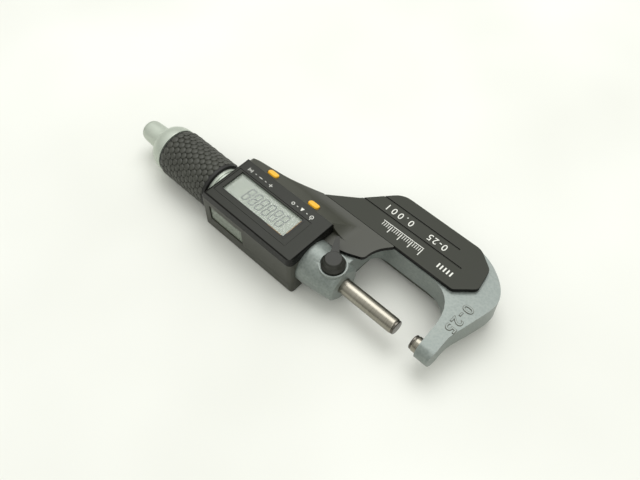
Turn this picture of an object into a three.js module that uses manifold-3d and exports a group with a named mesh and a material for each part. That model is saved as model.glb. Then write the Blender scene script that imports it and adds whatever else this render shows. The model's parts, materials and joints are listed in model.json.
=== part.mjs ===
// Digital outside micrometer, 0 to 25 mm, as an assembly of separate pieces.
//
// Millimetres. +X runs along the spindle from the anvil to the thimble, +Y points out of the
// open side of the C frame, and +Z is the way the display faces. The origin is the middle of
// the anvil's measuring face. The tool lies on its back, so its lowest faces are at -REST_Z.

import * as THREE from 'three';
import { mergeVertices } from 'three/addons/utils/BufferGeometryUtils.js';
import Module from 'manifold-3d';

const wasm = await Module();
wasm.setup();

// ---------------------------------------------------------------- driving dimensions

const SPINDLE_R = 3.175; // the usual quarter-inch spindle
const TIP_R = 2.95; // carbide discs on the anvil and the spindle
const OPEN_GAP = 7.5; // distance between the measuring faces as stored
const TRAVEL_OUT = 17.9; // what is left of the 25.4 mm travel
const RUNNING = 0.08; // radial clearance of a piece that turns or slides
const FIT = 0.15; // clearance around a piece that is fixed

const FRAME_HALF = 5.3; // half the thickness of the C frame
const COVER_TOP = 7.2; // outer face of the insulating covers
const THROAT_Y = -22.3; // bottom of the C
const BACK_Y = -45.3; // back edge of the frame
const ARM_FACE_X = -3.4; // inner face of the anvil arm
const BARREL_FACE_X = 33.7; // face that the spindle comes out of
const THROAT_X = 36.8; // inner wall of the C on the barrel side
const ARM_HALF = 4.1; // half the thickness of the arm at the anvil
const ANVIL_BACK_X = -7.6;

const REST_Z = 11.1; // half height of the display housing
const FACE_Z = 11.7; // front face of the display
const CASE_X = [50.3, 101.5];
const CASE_Y = [-12.0, 12.0];
const WALL = 1.5;
const BEZEL_Z = 7.0; // joint between the bezel and the case
const SPLIT_Z = -5.3; // joint between the case and the rear shell
const SEAM_Y = -22.7; // seam between the skirt and the front cover
const SLOPE = [[-12.0, 11.3], [-18.9, 7.15]]; // y, z of the slope below the buttons

const SCREEN_X = [60.3, 94.5];
const SCREEN_Y = [-5.5, 5.5];
const PANEL_X = [56.7, 96.6];
const PANEL_Y = [-6.3, 8.2];

const DRUM_R = 8.8; // front of the thimble, inside the housing
const DRUM_X = 80.6;
const THIMBLE_R = 9.2;
const GRIP_R = 11.0;
const GRIP_X = [102.0, 130.6];
const NECK_X = 139.6; // end of the thimble, start of the ratchet knob
const KNOB_R = 5.1;
const KNOB_END_X = 151.6;

const LOCK_X = 39.4;
const LOCK_SEAT_Z = 7.6;
const LOCK_DISC_R = 4.7;
const LEVER_TOP_Z = 12.5;
const LEVER_REACH = 10.4;
const LEVER_ANGLE = -56.5; // degrees from +X

const BUTTON_X = [62.9, 85.5];
const BUTTON_Y = -13.8;
const BUTTON_SIZE = [5.0, 3.0];

const BATTERY_AT = [72.0, -11.8];
const BATTERY_R = 5.8;
const BATTERY_Z = [-9.3, -3.9];
const CAP_R = 6.6;

const KEY_X = 55.0;
const REAR_SCREWS = [[55.0, 9.0], [75.0, 9.0], [97.2, -12.9], [56.0, -19.4]];
const COVER_SCREWS = [[5.0, -34.0], [38.0, -34.0]];

// ---------------------------------------------------------------- materials

const finish = (color, roughness, metalness) =>
  new THREE.MeshStandardMaterial({ color, roughness, metalness });

const hammertone = () => finish(0xa7b1ae, 0.45, 0.2);
const darkPlastic = () => finish(0x55554d, 0.6, 0.0);
const blackPlastic = () => finish(0x33332f, 0.5, 0.0);
const rubber = () => finish(0x3d3e3b, 0.85, 0.0);
const groundSteel = () => finish(0xb9b5ab, 0.22, 1.0);
const carbide = () => finish(0x6d6a66, 0.3, 1.0);
const satinChrome = () => finish(0xb5bcb4, 0.4, 0.7);
const bronze = () => finish(0xa77c45, 0.4, 1.0);
const buttonYellow = () => finish(0xf2bd35, 0.5, 0.0);
const clearGlass = () => finish(0xdfe6df, 0.1, 0.0);
const screenGrey = () => finish(0xc3cdc2, 0.35, 0.0);
const boardGreen = () => finish(0x2f5a3c, 0.6, 0.1);
const screwSteel = () => finish(0x8b8c8a, 0.35, 1.0);

// ---------------------------------------------------------------- solids

function toSolid(geometry) {
  const bare = geometry.index ? geometry.toNonIndexed() : geometry.clone();
  bare.deleteAttribute('normal');
  bare.deleteAttribute('uv');
  const merged = mergeVertices(bare, 1e-4);
  const position = merged.attributes.position.array;
  const faces = [];
  let volume = 0;
  for (let i = 0; i < merged.index.count; i += 3) {
    const [a, b, c] = [0, 1, 2].map((k) => merged.index.getX(i + k));
    if (a === b || b === c || c === a) continue;
    faces.push([a, b, c]);
    const [p, q, r] = [a, b, c].map((v) => new THREE.Vector3().fromArray(position, 3 * v));
    volume += p.dot(q.cross(r));
  }
  const outward = volume > 0 ? faces : faces.map(([a, b, c]) => [a, c, b]);
  return new wasm.Manifold(new wasm.Mesh({
    numProp: 3,
    vertProperties: new Float32Array(position),
    triVerts: new Uint32Array(outward.flat()),
  }));
}

function toGeometry(solid) {
  const mesh = solid.getMesh();
  const geometry = new THREE.BufferGeometry();
  geometry.setAttribute('position', new THREE.BufferAttribute(mesh.vertProperties, 3));
  geometry.setIndex(new THREE.BufferAttribute(mesh.triVerts, 1));
  geometry.computeVertexNormals();
  return geometry;
}

const join = (first, ...rest) => rest.reduce((sum, solid) => sum.add(solid), first);
const cut = (first, ...rest) => rest.reduce((left, solid) => left.subtract(solid), first);

// A closed outline from [a, b, corner radius]; the radius may be left out for a sharp corner.
function outline(corners) {
  const shape = new THREE.Shape();
  corners.forEach(([a, b, radius = 0], i) => {
    const corner = new THREE.Vector2(a, b);
    const before = new THREE.Vector2(...corners.at(i - 1).slice(0, 2));
    const after = new THREE.Vector2(...corners[(i + 1) % corners.length].slice(0, 2));
    const start = corner.clone().add(before.sub(corner).setLength(radius || 1e-9));
    const end = corner.clone().add(after.sub(corner).setLength(radius || 1e-9));
    if (!radius) {
      if (i) shape.lineTo(a, b);
      else shape.moveTo(a, b);
      return;
    }
    if (i) shape.lineTo(start.x, start.y);
    else shape.moveTo(start.x, start.y);
    shape.quadraticCurveTo(a, b, end.x, end.y);
  });
  shape.closePath();
  return shape;
}

function extrude(shape, depth, curveSegments) {
  return new THREE.ExtrudeGeometry(shape, { depth, bevelEnabled: false, curveSegments });
}

// An outline in x, y that fills low to high in z.
function prismZ(shape, low, high, curveSegments = 5) {
  return toSolid(extrude(shape, high - low, curveSegments).translate(0, 0, low));
}

// An outline in y, z that fills low to high in x.
function prismX(shape, low, high, curveSegments = 5) {
  const geometry = extrude(shape, high - low, curveSegments).translate(0, 0, low);
  return toSolid(geometry.rotateY(Math.PI / 2).rotateX(Math.PI / 2));
}

// An outline in x, z that fills low to high in y.
function prismY(shape, low, high, curveSegments = 5) {
  const geometry = extrude(shape, high - low, curveSegments).translate(0, 0, -high);
  return toSolid(geometry.rotateX(Math.PI / 2));
}

function block([x0, x1], [y0, y1], [z0, z1]) {
  const geometry = new THREE.BoxGeometry(x1 - x0, y1 - y0, z1 - z0);
  return toSolid(geometry.translate((x0 + x1) / 2, (y0 + y1) / 2, (z0 + z1) / 2));
}

// A solid turned about the spindle axis from a profile of [x, radius].
function turned(profile, sides = 32) {
  const points = profile.map(([x, r]) => new THREE.Vector2(r, x));
  return toSolid(new THREE.LatheGeometry(points, sides).rotateZ(-Math.PI / 2));
}

function rod(x0, x1, radius, sides = 32) {
  return turned([[x0, 0], [x0, radius], [x1, radius], [x1, 0]], sides);
}

function ring(x0, x1, inner, outer, sides = 32) {
  return turned([[x0, inner], [x0, outer], [x1, outer], [x1, inner], [x0, inner]], sides);
}

// A disc or a stepped pin that stands along z at [x, y], from a profile of [z, radius].
function post([x, y], profile, sides = 24) {
  const points = profile.map(([z, r]) => new THREE.Vector2(r, z));
  return toSolid(new THREE.LatheGeometry(points, sides).rotateX(Math.PI / 2).translate(x, y, 0));
}

function pin(at, z0, z1, radius, sides = 24) {
  return post(at, [[z0, 0], [z0, radius], [z1, radius], [z1, 0]], sides);
}

// ---------------------------------------------------------------- frame and anvil

function frameOutline() {
  const shape = new THREE.Shape();
  shape.moveTo(BARREL_FACE_X + 6, 6.4);
  shape.lineTo(64, 6.4);
  shape.lineTo(64, -24.6);
  shape.splineThru([
    new THREE.Vector2(57.6, -28.9),
    new THREE.Vector2(46.9, -38.9),
  ]);
  shape.quadraticCurveTo(41.5, BACK_Y, 35.5, BACK_Y);
  shape.lineTo(5.5, BACK_Y);
  shape.splineThru([
    new THREE.Vector2(-2.4, -42.8),
    new THREE.Vector2(-9.4, -38.0),
    new THREE.Vector2(-13.2, -32.6),
    new THREE.Vector2(-13.7, -27.0),
    new THREE.Vector2(-11.7, -17.8),
    new THREE.Vector2(-9.5, -8.5),
    new THREE.Vector2(-9.6, -1.5),
  ]);
  shape.quadraticCurveTo(-9.8, 5, -8.0, 5);
  shape.lineTo(-4.6, 5);
  shape.quadraticCurveTo(ARM_FACE_X, 5, ARM_FACE_X, 2.5);
  shape.lineTo(-2.7, -9.0);
  shape.bezierCurveTo(-1.6, -17.8, 2.4, THROAT_Y, 11.0, THROAT_Y);
  shape.lineTo(THROAT_X - 6.5, THROAT_Y);
  shape.quadraticCurveTo(THROAT_X, THROAT_Y, THROAT_X, THROAT_Y + 6.5);
  shape.lineTo(THROAT_X, -6.0);
  shape.lineTo(BARREL_FACE_X + 6, -6.0);
  shape.closePath();
  return shape;
}

// The arm thins towards the anvil and ends in a half round about the spindle axis.
function armSection() {
  const shape = new THREE.Shape();
  shape.moveTo(-60, -FRAME_HALF);
  shape.lineTo(THROAT_Y, -FRAME_HALF);
  shape.lineTo(-1, -ARM_HALF);
  shape.absarc(0, 0, ARM_HALF, -Math.PI / 2, Math.PI / 2, false);
  shape.lineTo(-1, ARM_HALF);
  shape.lineTo(THROAT_Y, FRAME_HALF);
  shape.lineTo(-60, FRAME_HALF);
  shape.closePath();
  return shape;
}

// The round barrel that carries the spindle, grown all round by gap.
function barrelProfile(gap) {
  return [
    [BARREL_FACE_X, 6.5 + gap], [BARREL_FACE_X + 0.9, 7.7 + gap], [38.8, 8.4 + gap],
    [43.5, 9.0 + gap], [47.5, 9.4 + gap], [52.4, 9.4 + gap],
  ];
}

function frame() {
  const blank = prismZ(frameOutline(), -FRAME_HALF, FRAME_HALF, 7);
  const head = block([5, 70], [-60, 20], [-FRAME_HALF, FRAME_HALF]);
  const plate = blank.intersect(join(prismX(armSection(), -30, 5, 7), head));
  const barrel = turned([
    [BARREL_FACE_X, 0], ...barrelProfile(0), [52.4, 6.9], [66.0, 6.9], [66.0, 0],
  ], 40);
  const lockSeat = pin([LOCK_X, 0], 0, LOCK_SEAT_Z + 0.7, LOCK_DISC_R + 0.9, 32);
  const bores = [
    rod(BARREL_FACE_X - 1, 51, SPINDLE_R + FIT),
    rod(BARREL_FACE_X + 0.6, 51, 4.4 + FIT),
    rod(50, 67, 5.2 + FIT),
    rod(ANVIL_BACK_X - 0.3, 0, SPINDLE_R + FIT),
    pin([LOCK_X, 0], LOCK_SEAT_Z, LEVER_TOP_Z, LOCK_DISC_R + 0.35, 32),
    pin([LOCK_X, 0], 0, LEVER_TOP_Z, 1.8 + FIT),
    pin([LOCK_X, 0], 6.2, LEVER_TOP_Z, 2.8, 24),
    pin([KEY_X, 0], -10, 0, 1.0 + FIT, 20),
    pin(REAR_SCREWS[3], -10, -1, 0.8 + FIT, 16),
    ...COVER_SCREWS.map((at) => pin(at, -10, -1.5, 1.0 + FIT, 16)),
  ];
  return cut(join(plate, barrel, lockSeat), ...bores);
}

function anvil() {
  return turned([
    [ANVIL_BACK_X, 0], [ANVIL_BACK_X, SPINDLE_R], [-1.5, SPINDLE_R], [-1.1, TIP_R],
    [-1.0, TIP_R], [-1.0, 0],
  ]);
}

function measuringTip(x0, x1, bevelled) {
  const bevel = 0.25;
  const start = bevelled < 0 ? TIP_R - bevel : TIP_R;
  const end = bevelled > 0 ? TIP_R - bevel : TIP_R;
  return turned([
    [x0, 0], [x0, start], [x0 + bevel, TIP_R], [x1 - bevel, TIP_R], [x1, end], [x1, 0],
  ]);
}

// ---------------------------------------------------------------- spindle and its guides

function spindle() {
  const front = OPEN_GAP + 1.0;
  const body = turned([
    [front, 0], [front, TIP_R], [front + 0.4, SPINDLE_R], [64, SPINDLE_R], [64, 3.0],
    [112, 3.0], [112.5, 2.5], [112.5, 0],
  ]);
  const keyway = block([KEY_X - TRAVEL_OUT - 1.4, KEY_X + OPEN_GAP + 1.4], [-1.15, 1.15], [-4, -2.45]);
  return cut(body, keyway);
}

function spindleBush() {
  const hole = pin([LOCK_X, 0], 0, 6, 1.8 + FIT);
  return cut(ring(35.3, 49.9, SPINDLE_R + RUNNING, 4.4), hole);
}

const wiperSeal = () => ring(34.4, 35.2, SPINDLE_R + RUNNING, 4.4);

const guideKey = () => pin([KEY_X, 0], -6.7, -2.6, 1.0, 20);

function innerSleeve() {
  const shell = turned([
    [51.2, SPINDLE_R + RUNNING], [51.2, 5.2], [66.3, 5.2], [66.3, 6.2], [99, 6.2], [99, 5.0],
    [82, 5.0], [82, SPINDLE_R + RUNNING], [51.2, SPINDLE_R + RUNNING],
  ]);
  return cut(shell, pin([KEY_X, 0], -7, 0, 1.0 + FIT, 20));
}

// ---------------------------------------------------------------- spindle lock

function lockLever() {
  const disc = post([LOCK_X, 0], [
    [LOCK_SEAT_Z + 0.15, 0], [LOCK_SEAT_Z + 0.15, LOCK_DISC_R], [9.3, LOCK_DISC_R],
    [9.7, LOCK_DISC_R - 0.4], [10.1, 3.9], [12.0, 3.6], [LEVER_TOP_Z, 3.1], [LEVER_TOP_Z, 0],
  ], 32);
  const arm = outline([
    [1.5, -1.9], [LEVER_REACH, -0.75, 0.6], [LEVER_REACH, 0.75, 0.6], [1.5, 1.9],
  ]);
  const turn = THREE.MathUtils.degToRad(LEVER_ANGLE);
  const pointer = extrude(arm, 2.3, 6).rotateZ(turn).translate(LOCK_X, 0, 9.9);
  return join(disc, toSolid(pointer));
}

const lockShaft = () => pin([LOCK_X, 0], 4.5, LOCK_SEAT_Z, 1.8 + FIT - RUNNING);
const lockPad = () => pin([LOCK_X, 0], SPINDLE_R + 0.1, 4.3, 1.8);

function lockSeal() {
  return post([LOCK_X, 0], [[6.35, 1.98], [6.35, 2.7], [7.3, 2.7], [7.3, 1.98], [6.35, 1.98]], 24);
}

// ---------------------------------------------------------------- covers of the frame

function coverOutline() {
  return outline([
    [65.2, SEAM_Y], [60.8, -25.9], [54.0, -31.0], [42.4, -44.4, 4.0], [4.0, -44.4, 2.0],
    [-3.7, -39.1, 1.5], [-5.7, -29.3, 1.5], [1.4, SEAM_Y, 1.0],
  ]);
}

function frontCover() {
  const plate = prismZ(coverOutline(), FRAME_HALF + 0.05, COVER_TOP);
  const groove = (xs, y) => block(xs, [y - 0.18, y + 0.18], [COVER_TOP - 0.3, COVER_TOP + 1]);
  return cut(plate, groove([10, 48], -38.6), groove([4.5, 54], -32.2));
}

function rearCover() {
  const plate = prismZ(coverOutline(), -COVER_TOP, -FRAME_HALF - 0.05);
  const holes = COVER_SCREWS.map((at) => post(at, [
    [-8, 0], [-8, 2.1], [-6.2, 2.1], [-6.2, 1.15], [-5, 1.15], [-5, 0],
  ], 16));
  return cut(plate, ...holes);
}

function screw(at, headZ, headR, shankR, endZ) {
  const shape = post(at, [
    [headZ, 0], [headZ, headR], [headZ + 0.6, headR], [headZ + 0.7, shankR], [endZ, shankR],
    [endZ, 0],
  ], 16);
  const [x, y] = at;
  const reach = 0.62 * headR;
  const depth = [headZ - 0.1, headZ + 0.4];
  return cut(
    shape,
    block([x - reach, x + reach], [y - 0.22, y + 0.22], depth),
    block([x - 0.22, x + 0.22], [y - reach, y + reach], depth),
  );
}

// ---------------------------------------------------------------- display housing

function housingPlan() {
  return outline([
    [CASE_X[0], CASE_Y[1], 2.6], [CASE_X[0], -5.5], [41.0, -7.5, 2.5], [33.8, -10.6, 1.5],
    [33.2, -16.8, 4.0], [28.6, SEAM_Y + 0.1, 0.8], [66.0, SEAM_Y + 0.1], [73.0, -20.6, 5],
    [82.0, -18.0, 4], [97.6, -15.4, 3.5], [100.8, -11.4, 1.5], [CASE_X[1], CASE_Y[1], 2.6],
  ]);
}

function sideProfile() {
  return outline([
    [CASE_X[0], -REST_Z, 1.2], [CASE_X[1], -REST_Z, 1.2], [CASE_X[1], 5.5, 3.0],
    [97.8, FACE_Z, 1.0], [CASE_X[0], FACE_Z, 0.8],
  ]);
}

function housingBody() {
  const core = prismZ(housingPlan(), -REST_Z, FACE_Z, 4);
  const ends = prismY(sideProfile(), CASE_Y[0], CASE_Y[1], 4);
  const section = outline([
    [CASE_Y[1], -REST_Z, 1.6], [CASE_Y[1], FACE_Z, 0.8], [CASE_Y[0], FACE_Z, 0.8],
    [CASE_Y[0], -REST_Z],
  ]);
  const box = core.intersect(ends).intersect(prismX(section, 40, 110, 4));
  const wingSection = outline([
    [CASE_Y[0] + 0.4, -REST_Z], [CASE_Y[0] + 0.4, SLOPE[0][1]], SLOPE[0],
    [...SLOPE[1], 2.5], [-26, COVER_TOP - 0.06], [-26, -REST_Z],
  ]);
  const ramp = outline([
    [38.5, -REST_Z, 1.2], [CASE_X[1], -REST_Z, 1.2], [CASE_X[1], 5.5, 3.0],
    [96.4, FACE_Z, 3.0], [52.0, FACE_Z, 1.5], [46.6, COVER_TOP - 0.05, 3.0],
    [38.5, COVER_TOP - 0.05],
  ]);
  const wing = core.intersect(prismX(wingSection, 30, 110, 5)).intersect(prismY(ramp, -30, 0, 4));
  const skirt = prismZ(housingPlan(), FRAME_HALF + 0.05, COVER_TOP - 0.05, 4);
  return join(box, wing, skirt.intersect(block([28, 66], [-30, -5.6], [0, 8])));
}

function housingCavity() {
  const core = block([CASE_X[0] + WALL, CASE_X[1] - WALL], [-10.6, 10.6], [-9.6, 10.1]);
  const wing = outline([[-10, 9.4], [-12, 9.4], [-14.4, 7.9], [-14.4, -9.6], [-10, -9.6]]);
  const well = pin(BATTERY_AT, BATTERY_Z[0] - 0.3, BATTERY_Z[1] + 0.8, BATTERY_R + 0.4);
  const throughHoles = [
    turned([[BARREL_FACE_X, 0], ...barrelProfile(FIT), [52.4, 0]], 40),
    rod(98, 104, THIMBLE_R + 0.3, 40),
  ];
  return join(core, prismX(wing, 57, 98), well, ...throughHoles);
}

function housingShell() {
  const frameRoom = block([28, 64.3], [-26, 6.4 + FIT], [SPLIT_Z - 0.05, FRAME_HALF + 0.05]);
  return cut(housingBody(), housingCavity(), frameRoom);
}

const bezelRegion = (gap) => block(
  [CASE_X[0] - 0.2 + gap, 110],
  [CASE_Y[0] + 0.4 + gap, 20],
  [BEZEL_Z + gap, 20],
);
const shell = housingShell();

function bezel() {
  const opening = block(PANEL_X, PANEL_Y, [5, 20]);
  return cut(shell.intersect(bezelRegion(0.05)), opening);
}

function buttonSolid(x, grow, low, high) {
  const [length, width] = BUTTON_SIZE.map((size) => size + 2 * grow);
  const half = length / 2;
  const pill = outline([
    [-half, -width / 2, width / 2.2], [half, -width / 2, width / 2.2],
    [half, width / 2, width / 2.2], [-half, width / 2, width / 2.2],
  ]);
  return toSolid(onSlope(extrude(pill, high - low, 5).translate(0, 0, low), x));
}

// Places a geometry whose +Z is the way out of the slope at one of the buttons.
function onSlope(geometry, x) {
  const [[y0, z0], [y1, z1]] = SLOPE;
  const fall = (z0 - z1) / (y0 - y1);
  const tilt = Math.atan(fall);
  return geometry.rotateX(tilt).translate(x, BUTTON_Y, z0 + (BUTTON_Y - y0) * fall);
}

const button = (x) => buttonSolid(x, 0, -2.4, 0.8);

function switchBlock(x) {
  return toSolid(onSlope(new THREE.BoxGeometry(3.4, 2.2, 1.3).translate(0, 0, -4.1), x));
}

// Joins the two sides of the case over the end of the barrel, behind the bezel.
function bulkhead() {
  const x = [52.65, 54.1];
  const low = block(x, [-10.8, 10.8], [SPLIT_Z + 0.05, BEZEL_Z - 0.1]);
  const high = block(x, [-10.3, 10.3], [BEZEL_Z - 0.2, 9.9]);
  const frameRoom = block([52, 55], [-26, 6.4 + FIT], [-6, FRAME_HALF + 0.05]);
  return cut(join(low, high), rod(52, 55, 6.9 + FIT), frameRoom);
}

function caseShell() {
  const sideWindow = block([77.5, 96.5], [10, 13], [-4.4, 3.9]);
  const middle = cut(shell, bezelRegion(0), block([20, 110], [-40, 20], [-20, SPLIT_Z + 0.05]));
  const posts = REAR_SCREWS.slice(0, 3).map((at) => pin(at, SPLIT_Z + 0.05, 5.6, 1.9, 20));
  const bores = REAR_SCREWS.slice(0, 3).map((at) => pin(at, -12, -1, 0.8 + FIT, 16));
  const pockets = BUTTON_X.map((x) => buttonSolid(x, 0.2, -6, 3));
  return cut(join(middle, bulkhead(), ...posts), sideWindow, ...bores, ...pockets);
}

function housingRear() {
  const lower = shell.intersect(block([20, 110], [-40, 20], [-20, SPLIT_Z - 0.05]));
  const posts = REAR_SCREWS.map((at) => pin(at, -10.2, SPLIT_Z - 0.05, 2.3, 20));
  const bores = REAR_SCREWS.map((at) => post(at, [
    [-12, 0], [-12, 1.75], [-10, 1.75], [-10, 0.95], [-5, 0.95], [-5, 0],
  ], 16));
  return cut(join(lower, ...posts), pin(BATTERY_AT, -12, -9, CAP_R + 0.2), ...bores);
}

const sideWindow = () => block([77.7, 96.3], [10.7, 11.5], [-4.2, 3.7]);

function displayFrame() {
  const inset = ([low, high], gap) => [low + gap, high - gap];
  const plate = block(inset(PANEL_X, 0.12), inset(PANEL_Y, 0.12), [10.85, 11.6]);
  return cut(plate, block(SCREEN_X, SCREEN_Y, [5, 20]));
}

const lcdWindow = () => block([58.6, 95.8], [-6.1, 7.4], [10.3, 10.8]);
const lcdPanel = () => block([58.6, 95.8], [-6.1, 7.4], [9.25, 10.25]);

// ---------------------------------------------------------------- electronics

const circuitBoard = () => block([54.4, 76.6], [-8.8, 8.8], [7.2, 8.1]);
const zebraStrip = () => block([60, 75.5], [5.9, 7.2], [8.15, 9.2]);
const processor = () => block([58.5, 68.5], [-5, 5], [8.15, 9.15]);
const encoderStator = () => ring(77.2, 78.4, 6.5, 8.9);
const encoderRotor = () => ring(79.0, 80.3, 6.6, 8.5);

function battery() {
  return post(BATTERY_AT, [
    [BATTERY_Z[0], 0], [BATTERY_Z[0], BATTERY_R - 0.7], [BATTERY_Z[0] + 0.5, BATTERY_R - 0.7],
    [BATTERY_Z[0] + 0.7, BATTERY_R], [BATTERY_Z[1], BATTERY_R], [BATTERY_Z[1], 0],
  ]);
}

function batteryContact() {
  const [x, y] = BATTERY_AT;
  return block([x - 4.0, x + 4.0], [y - 2.0, y + 2.0], [BATTERY_Z[1] + 0.1, BATTERY_Z[1] + 0.4]);
}

function batteryCap() {
  const [x, y] = BATTERY_AT;
  const disc = post(BATTERY_AT, [
    [-10.95, 0], [-10.95, CAP_R - 0.4], [-10.6, CAP_R], [-10.0, CAP_R], [-10.0, 5.9], [-9.65, 5.9],
    [-9.65, 0],
  ]);
  return cut(disc, block([x - 4.6, x + 4.6], [y - 0.9, y + 0.9], [-12, -10.3]));
}

function capSeal() {
  return post(BATTERY_AT, [[-9.95, 6.0], [-9.95, 6.5], [-9.7, 6.5], [-9.7, 6.0], [-9.95, 6.0]]);
}

// ---------------------------------------------------------------- thimble and ratchet

function thimble() {
  return turned([
    [DRUM_X, 7.9], [DRUM_X, DRUM_R - 0.5], [DRUM_X + 0.5, DRUM_R], [100.6, DRUM_R],
    [100.6, THIMBLE_R], [131.0, THIMBLE_R], [131.0, 10.3], [133.0, 10.3], [135.2, 9.8],
    [137.2, 8.7], [138.6, 7.1], [NECK_X, 5.7], [NECK_X, 1.4 + FIT], [131.4, 1.4 + FIT],
    [131.4, 7.9], [DRUM_X, 7.9],
  ], 40);
}

function grip() {
  const [x0, x1] = GRIP_X;
  return turned([
    [x0, THIMBLE_R + FIT], [x0, 10.3], [x0 + 0.7, GRIP_R], [x1 - 0.7, GRIP_R], [x1, 10.3],
    [x1, THIMBLE_R + FIT], [x0, THIMBLE_R + FIT],
  ], 40);
}

function leadNut() {
  return turned([
    [82.6, 3.1], [82.6, 5.0 - RUNNING], [99.3, 5.0 - RUNNING], [99.3, 7.7], [105, 7.7],
    [105, 4.6], [110, 4.6], [110, 3.1], [82.6, 3.1],
  ]);
}

const ratchetScrew = () => turned([
  [132, 0], [132, 1.4], [147.5, 1.4], [147.5, 3.0], [149.0, 3.0], [149.0, 0],
], 24);

// A disc with face teeth on its +X side (sign 1) or its -X side (sign -1).
function toothedDisc(x0, x1, sign) {
  const teeth = 12;
  const bore = rod(x0 - 1, x1 + 1, 1.4 + FIT, 24);
  const notches = Array.from({ length: teeth }, (_, i) => {
    const slot = new THREE.BoxGeometry(0.5, 3, 0.5).translate(sign > 0 ? x1 : x0, 3.4, 0);
    return toSolid(slot.rotateX((i * 2 * Math.PI) / teeth));
  });
  return cut(rod(x0, x1, 3.8, 24), bore, ...notches);
}

const ratchetSpring = () => ring(143.3, 145.1, 1.7, 2.9, 24);

function ratchetKnob() {
  return turned([
    [NECK_X + 0.2, 4.1], [NECK_X + 0.2, 5.6], [141.0, 5.35], [143.0, KNOB_R], [147.5, KNOB_R - 0.2],
    [149.1, KNOB_R - 0.5], [149.1, 3.5], [147.3, 3.5], [147.3, 1.4 + FIT], [145.2, 1.4 + FIT],
    [145.2, 4.1], [NECK_X + 0.2, 4.1],
  ], 32);
}

function knobCap() {
  return turned([
    [149.2, 0], [149.2, 4.55], [149.8, 4.2], [150.7, 3.3], [151.3, 2.0], [KNOB_END_X, 0],
  ], 32);
}

// ---------------------------------------------------------------- assembly

const assembly = new THREE.Group();

function add(name, solid, material) {
  const mesh = new THREE.Mesh(toGeometry(solid), material);
  mesh.name = name;
  assembly.add(mesh);
}

add('frame', frame(), hammertone());
add('anvil', anvil(), groundSteel());
add('anvil_tip', measuringTip(-0.95, 0, 1), carbide());
add('spindle', spindle(), groundSteel());
add('spindle_tip', measuringTip(OPEN_GAP, OPEN_GAP + 0.95, -1), carbide());
add('spindle_bush', spindleBush(), bronze());
add('wiper_seal', wiperSeal(), rubber());
add('guide_key', guideKey(), screwSteel());
add('inner_sleeve', innerSleeve(), satinChrome());
add('lock_lever', lockLever(), blackPlastic());
add('lock_shaft', lockShaft(), screwSteel());
add('lock_pad', lockPad(), bronze());
add('lock_seal', lockSeal(), rubber());
add('front_cover', frontCover(), darkPlastic());
add('rear_cover', rearCover(), darkPlastic());
add('housing_case', caseShell(), darkPlastic());
add('housing_rear', housingRear(), darkPlastic());
add('bezel', bezel(), blackPlastic());
add('display_frame', displayFrame(), blackPlastic());
add('lcd_window', lcdWindow(), clearGlass());
add('lcd_panel', lcdPanel(), screenGrey());
add('zebra_strip', zebraStrip(), rubber());
add('circuit_board', circuitBoard(), boardGreen());
add('processor', processor(), blackPlastic());
add('side_window', sideWindow(), clearGlass());
add('encoder_stator', encoderStator(), boardGreen());
add('encoder_rotor', encoderRotor(), boardGreen());
BUTTON_X.forEach((x, i) => add(`button_${i + 1}`, button(x), buttonYellow()));
BUTTON_X.forEach((x, i) => add(`switch_${i + 1}`, switchBlock(x), screwSteel()));
add('battery', battery(), satinChrome());
add('battery_contact', batteryContact(), bronze());
add('battery_cap', batteryCap(), blackPlastic());
add('cap_seal', capSeal(), rubber());
add('thimble', thimble(), satinChrome());
add('grip', grip(), rubber());
add('lead_nut', leadNut(), bronze());
add('ratchet_screw', ratchetScrew(), screwSteel());
add('ratchet_wheel', toothedDisc(NECK_X + 0.3, 141.5, 1), groundSteel());
add('ratchet_pawl', toothedDisc(141.8, 143.2, -1), groundSteel());
add('ratchet_spring', ratchetSpring(), screwSteel());
add('ratchet_knob', ratchetKnob(), satinChrome());
add('knob_cap', knobCap(), satinChrome());
REAR_SCREWS.forEach((at, i) => {
  add(`rear_screw_${i + 1}`, screw(at, -10.9, 1.6, 0.8, -1.3), screwSteel());
});
COVER_SCREWS.forEach((at, i) => {
  add(`cover_screw_${i + 1}`, screw(at, -7.0, 1.95, 1.0, -1.8), screwSteel());
});

export default assembly;
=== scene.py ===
# %% [markdown]
# # A digital outside micrometer
# This notebook dresses a finished mechanical model. The mechanical pieces come in as a fixed
# frame, in metres, with +X along the spindle. Everything made here is placed from that frame.

# %% Load the frame
import json
import math

import bmesh
import bpy
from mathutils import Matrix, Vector


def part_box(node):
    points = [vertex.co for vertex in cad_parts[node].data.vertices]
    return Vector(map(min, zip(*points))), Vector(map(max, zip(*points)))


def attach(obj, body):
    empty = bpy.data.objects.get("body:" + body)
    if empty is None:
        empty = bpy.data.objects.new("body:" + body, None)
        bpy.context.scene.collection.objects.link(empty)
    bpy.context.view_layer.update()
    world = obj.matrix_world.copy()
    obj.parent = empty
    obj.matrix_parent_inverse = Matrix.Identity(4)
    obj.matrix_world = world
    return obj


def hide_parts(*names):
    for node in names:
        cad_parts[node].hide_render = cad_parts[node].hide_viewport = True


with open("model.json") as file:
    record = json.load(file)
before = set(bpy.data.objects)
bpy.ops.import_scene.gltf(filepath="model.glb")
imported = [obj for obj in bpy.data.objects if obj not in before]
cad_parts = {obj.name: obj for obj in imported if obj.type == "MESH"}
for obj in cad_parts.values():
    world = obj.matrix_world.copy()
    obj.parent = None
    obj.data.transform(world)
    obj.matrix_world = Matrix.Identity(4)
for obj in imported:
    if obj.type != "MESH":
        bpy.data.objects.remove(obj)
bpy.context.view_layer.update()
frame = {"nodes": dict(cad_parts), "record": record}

MM = 0.001

# %% [markdown]
# ## Camera, table and light
# The tool is small, so the camera stands about thirty centimetres away with a slightly long
# lens. A pale table takes the soft shadow, and the light is a bright, even tent with one
# large soft box above, which is how small products are lit for a catalogue.

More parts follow.
